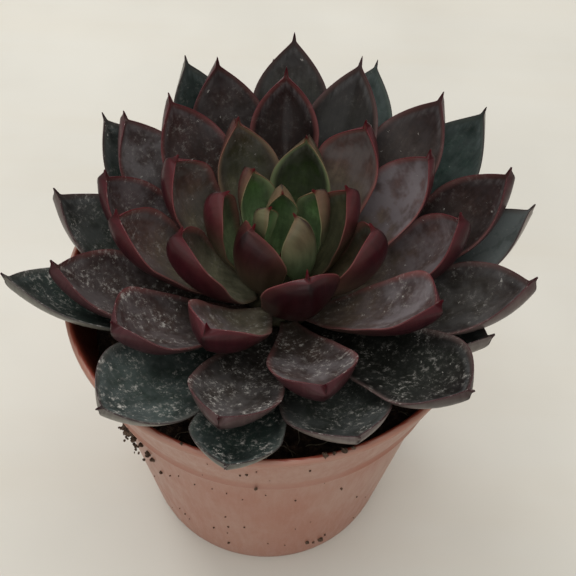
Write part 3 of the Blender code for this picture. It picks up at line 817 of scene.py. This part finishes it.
# where the fibres start: bearing in degrees, distance from the middle
fibreStarts = (
    (-93.0, 40.5), (-88.0, 42.0), (-84.0, 41.0), (-80.0, 43.0), (-86.0, 38.0), (-78.0, 40.0),
    (-124.0, 42.0), (-118.0, 43.0), (-130.0, 41.0), (-60.0, 41.0), (-45.0, 42.0), (-150.0, 40.0),
    (20.0, 41.0), (75.0, 42.0), (130.0, 41.0), (200.0, 40.0),
)
# crumbs stuck to the pot: bearing in degrees, height, size in millimetres
potCrumbs = (
    (-93.4, 82.0, 0.7), (-91.2, 69.4, 0.8), (-77.2, 84.3, 0.6), (-62.4, 54.9, 0.7), (-109.6, 22.3, 0.7),
    (-104.0, 11.4, 0.8), (-69.4, 12.2, 1.1), (-62.8, 10.0, 1.3), (-66.0, 9.0, 0.8), (-61.0, 12.5, 0.7),
    (-139.0, 63.0, 3.4), (-142.0, 61.5, 3.0), (-136.6, 61.4, 2.8), (-145.0, 64.5, 2.0), (-140.0, 66.0, 2.2),
    (-134.6, 59.6, 2.0), (-132.0, 56.6, 1.8), (-130.6, 54.6, 1.2), (-147.0, 66.0, 1.2), (-137.0, 65.2, 1.8),
    (-143.4, 58.8, 1.4), (-128.6, 48.0, 0.9), (-74.0, 91.6, 1.3), (-71.5, 91.7, 1.0), (-110.0, 91.5, 0.8),
    (-69.0, 91.6, 1.4), (-66.5, 91.5, 0.9), (-30.0, 91.6, 1.0), (-27.0, 91.7, 1.3), (-24.5, 91.6, 1.1),
)


def surfaceHeight(x, y):
    r = np.hypot(x, y)
    z = soilForm["level"] - soilForm["dish"] * np.exp(-((r / 25.0) ** 2))
    return z + soilForm["lump"] * np.sin(x / 4.0) * np.cos(y / 5.0)


def crumbMesh(name, places, sizes, seed, material):
    # many small broken lumps as one mesh
    luck = np.random.RandomState(seed)
    seedMesh = bmesh.new()
    bmesh.ops.create_icosphere(seedMesh, subdivisions=2, radius=0.5)
    ball = np.array([v.co for v in seedMesh.verts])
    sides = [tuple(v.index for v in f.verts) for f in seedMesh.faces]
    seedMesh.free()
    points, faces = [], []
    for spot, size in zip(places, sizes):
        turn = np.array(Matrix.Rotation(luck.uniform(0, 6.28), 3, Vector(luck.normal(size=3))))
        knock = 1.0 + crumbForm["broken"] * np.sin(ball @ luck.normal(size=3) * 7.0 + luck.uniform(0, 6))
        knock = knock + crumbForm["rough"] * np.sin(ball @ luck.normal(size=3) * 15.0 + luck.uniform(0, 6))
        lump = (ball * knock[:, None]) * (size * luck.uniform(0.6, 1.3, 3)) @ turn.T
        faces += [tuple(i + len(points) for i in side) for side in sides]
        points += list(lump + spot)
    return meshPiece(name, np.array(points) * mm, faces, material, smooth=False)


mixLook = {
    "damp": {0.3: (44, 34, 30), 0.5: (78, 62, 52), 0.62: (110, 89, 73), 0.75: (148, 124, 102)},
    "dry": {0.3: (62, 48, 40), 0.5: (100, 82, 68), 0.62: (136, 114, 96), 0.75: (170, 148, 126)},
    "specks": (104, 86, 70), "roughness": 0.95, "specular": 0.2,
    "fibre": {0.3: (96, 84, 66), 0.6: (158, 146, 124), 0.8: (190, 180, 160)}, "fibreRoughness": 0.7,
}


def makeMix(name, look):
    material, tree, shader = newMaterial(name)
    place = millimetres(tree)
    coarse = grain(tree, place, 0.55, 8.0, 0.7)
    fine = grain(tree, place, 2.4, 5.0, 0.7)
    color = ramp(tree, coarse, mixLook[look])
    color = mix(tree, fade(tree, fine, 0.62, 0.74, 0.0, 0.5), color, paint(*mixLook["specks"]))
    plug(tree, shader, {
        "Base Color": color, "Roughness": mixLook["roughness"], "Specular IOR Level": mixLook["specular"],
        "Normal": bump(tree, calc(tree, "ADD", coarse, fine), 1.2, 1.0),
    })
    return material


def makeSoil(material):
    hole, edge = rosette["stemRadius"] + 0.25, innerRadius(soilForm["level"]) - 0.3
    turns = around(soilForm["steps"])
    luck = np.random.RandomState(soilForm["seed"])
    wave = luck.normal(size=(14, 2)) * np.linspace(0.35, 1.6, 14)[:, None]
    phase = luck.uniform(0.0, 6.28, 14)
    # up the hole, out over the surface and down the wall: radius, height, share of the stem's offset
    rings = [(hole, z, 1.0) for z in (soilForm["holeFoot"], 62.0, 73.0)]
    for t in np.linspace(0.0, 1.0, soilForm["rings"]):
        rings.append((blend(hole, edge, t), None, 1.0 - float(ease(t / 0.2))))
    rings += [(edge, 72.0, 0.0)] + [(innerRadius(z) - 0.3, z, 0.0) for z in (collarZ, 2.3)]
    points = []
    for radius, z, centred in rings:
        x = radius * np.cos(turns) + centred * rosette["stemX"]
        y = radius * np.sin(turns) + centred * rosette["stemY"]
        if z is None:
            rough = 0.0
            for i, ((a, b), p) in enumerate(zip(wave, phase)):
                rough = rough + np.sin(x * a + y * b + p) / (1.0 + 0.35 * i)
            calm = min(1.0, (edge - radius) / 1.5 + 0.25)  # flatter by the wall
            z = surfaceHeight(x, y) + soilForm["clods"] * rough * calm
        points += list(zip(x, y, z + 0.0 * x))
    return meshPiece("soilFill", np.array(points) * mm, tube(len(rings), len(turns)), material)


def fibre(path, radius, sides=5):
    # a thin root as a tube along its points
    path = np.array(path, float)
    points = []
    for i, spot in enumerate(path):
        run = path[min(i + 1, len(path) - 1)] - path[max(i - 1, 0)]
        run = run / np.linalg.norm(run)
        flat = np.cross(run, (0.3, 0.2, 0.93))
        flat /= np.linalg.norm(flat)
        other = np.cross(run, flat)
        r = radius * (1.0 if 0 < i < len(path) - 1 else 0.4)
        points += [spot + r * (flat * math.cos(a) + other * math.sin(a)) for a in around(sides)]
    return points, tube(len(path), sides)


def makeFibres():
    material, tree, shader = newMaterial("rootFibre")
    streak = grain(tree, millimetres(tree), 1.2, 4.0)
    plug(tree, shader, {
        "Base Color": ramp(tree, streak, mixLook["fibre"]), "Roughness": mixLook["fibreRoughness"],
        "Normal": bump(tree, streak, 0.05, 0.6),
    })
    luck = np.random.RandomState(fibreForm["seed"])
    points, faces = [], []
    for bearing, reach in fibreStarts:
        heading = luck.uniform(0.0, 6.28)
        x, y = reach * math.cos(math.radians(bearing)), reach * math.sin(math.radians(bearing))
        path = []
        for step in range(fibreForm["points"]):
            if math.hypot(x, y) > fibreForm["reach"]:
                heading = math.atan2(-y, -x)  # turned back before it meets the wall
            path.append((x, y, float(surfaceHeight(x, y)) + 0.75 + 0.5 * math.sin(step * 0.9 + heading)))
            heading += luck.normal() * fibreForm["wander"]
            x += fibreForm["step"] * math.cos(heading)
            y += fibreForm["step"] * math.sin(heading)
        some, sides = fibre(path, luck.uniform(*fibreForm["thick"]))
        faces += [tuple(i + len(points) for i in side) for side in sides]
        points += some
    return meshPiece("rootFibres", np.array(points) * mm, faces, material)


print("soil, crumbs and fibres")
mixSkin = makeMix("pottingMix", "damp")
soil = makeSoil(mixSkin)
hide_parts("soil")
luck = np.random.RandomState(crumbForm["placeSeed"])
count = crumbForm["count"]
near, far = crumbForm["zone"]
reaches = np.sqrt(luck.uniform(near**2, far**2, count))
turns = luck.uniform(0.0, 2.0 * math.pi, count)
places = np.stack([reaches * np.cos(turns), reaches * np.sin(turns), 0.0 * turns], axis=-1)
sizes = blend(crumbForm["least"], crumbForm["most"], luck.uniform(0.0, 1.0, count) ** 3)
places[:, 2] = surfaceHeight(places[:, 0], places[:, 1]) + 0.2 * sizes
soilCrumbs = crumbMesh("soilCrumbs", places, sizes, crumbForm["soilSeed"], mixSkin)

stuck = list(potCrumbs)  # the crumbs above, then specks all over the front of the wall
for _ in range(crumbForm["specks"]):
    stuck.append((luck.uniform(-142.0, -42.0), luck.uniform(5.0, 88.0), luck.uniform(0.25, 0.5)))
spots = []
for bearing, z, size in stuck:
    onLip = z > potForm["height"] - 0.4
    reach = potForm["rimRadius"] - 0.9 if onLip else outerRadius(z) + 0.3 * size
    spots.append((reach * math.cos(math.radians(bearing)), reach * math.sin(math.radians(bearing)), z))
sizes = [size for _, _, size in stuck]
for spot, size in list(zip(spots, sizes)):
    for _ in range(crumbForm["bits"] if size > crumbForm["clump"] else 0):  # a clump is many small bits
        spots.append(tuple(np.array(spot) + luck.normal(size=3) * crumbForm["bitSpread"] * size))
        sizes.append(luck.uniform(*crumbForm["bitSize"]))
sizes = [crumbForm["clumpShare"] * size if size > crumbForm["clump"] else size for size in sizes]
wallCrumbs = crumbMesh("wallCrumbs", spots, sizes, crumbForm["wallSeed"], makeMix("drySoil", "dry"))
fibres = makeFibres()
for piece in (soil, soilCrumbs, wallCrumbs, fibres):
    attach(piece, "root")


# floor, light and camera

studio = {
    "floor": (209, 206, 196), "floorGrain": (206, 198, 182), "floorPale": (228, 225, 215), "floorHalf": 3.0,
    "world": 0.5, "worldTint": (1.0, 0.98, 0.95, 1.0),
    "keyPower": 18.0, "keySize": 2.4, "keyPlace": (-0.15, 0.5, 1.5),
    "windowPower": 2.2, "windowSize": 0.45, "windowPlace": (-0.5, 0.6, 0.8),
    "fillPower": 4.2, "fillSize": 1.2, "fillPlace": (-0.2, -1.2, 0.9),
    "lightAim": (0.0, 0.0, 0.08),
}
shot = {
    "eye": (4.145, -143.634, 270.429), "aim": (4.15, 0.0, 87.5),  # millimetres
    "turn": 3.02, "lens": 56.25, "sensor": 36.0,
}


def makeFloor():
    material, tree, shader = newMaterial("paleFloor")
    place = millimetres(tree)
    long = grain(tree, place, 0.03, 4.0, 0.6, (0.12, 1.0, 1.0))
    soft = grain(tree, place, 0.012, 3.0, 0.5)
    floorGrain = paint(*studio["floorGrain"])
    color = mix(tree, fade(tree, long, 0.4, 0.7, 0.0, 0.3), paint(*studio["floor"]), floorGrain)
    color = mix(tree, fade(tree, soft, 0.3, 0.7, 0.0, 0.3), color, paint(*studio["floorPale"]))
    plug(tree, shader, {"Base Color": color, "Roughness": 0.6, "Specular IOR Level": 0.2})
    far = studio["floorHalf"]
    corners = [(-far, -far, 0), (far, -far, 0), (far, far, 0), (-far, far, 0)]
    floor = meshPiece("floor", corners, [(0, 1, 2, 3)], material, smooth=False)


def areaLight(name, key):
    light = bpy.data.lights.new(name, "AREA")
    light.energy, light.size = studio[key + "Power"], studio[key + "Size"]
    lamp = bpy.data.objects.new(name, light)
    lamp.location = studio[key + "Place"]
    lamp.rotation_euler = (Vector(studio["lightAim"]) - lamp.location).to_track_quat("-Z", "Y").to_euler()
    bpy.context.scene.collection.objects.link(lamp)


def makeCamera():
    lens = bpy.data.cameras.new("camera")
    lens.sensor_width = shot["sensor"]
    lens.lens = shot["lens"]
    lens.clip_start = 0.01
    camera = bpy.data.objects.new("camera", lens)
    eye = Vector(shot["eye"]) * mm
    view = (Vector(shot["aim"]) * mm - eye).normalized()
    turn = math.radians(shot["turn"])
    right = Vector((1.0, 0.0, 0.0))
    upright = right.cross(view)
    across = right * math.cos(turn) + upright * math.sin(turn)
    upward = upright * math.cos(turn) - right * math.sin(turn)
    camera.matrix_world = Matrix.Translation(eye) @ Matrix((across, upward, -view)).transposed().to_4x4()
    bpy.context.scene.collection.objects.link(camera)
    bpy.context.scene.camera = camera


print("floor, light and camera")
makeFloor()
areaLight("keyLight", "key")
areaLight("windowLight", "window")
areaLight("fillLight", "fill")
world = bpy.data.worlds.new("room")
world.use_nodes = True
world.node_tree.nodes["Background"].inputs["Color"].default_value = studio["worldTint"]
world.node_tree.nodes["Background"].inputs["Strength"].default_value = studio["world"]
bpy.context.scene.world = world
bpy.context.scene.view_settings.view_transform = "Standard"
makeCamera()

bpy.context.view_layer.update()
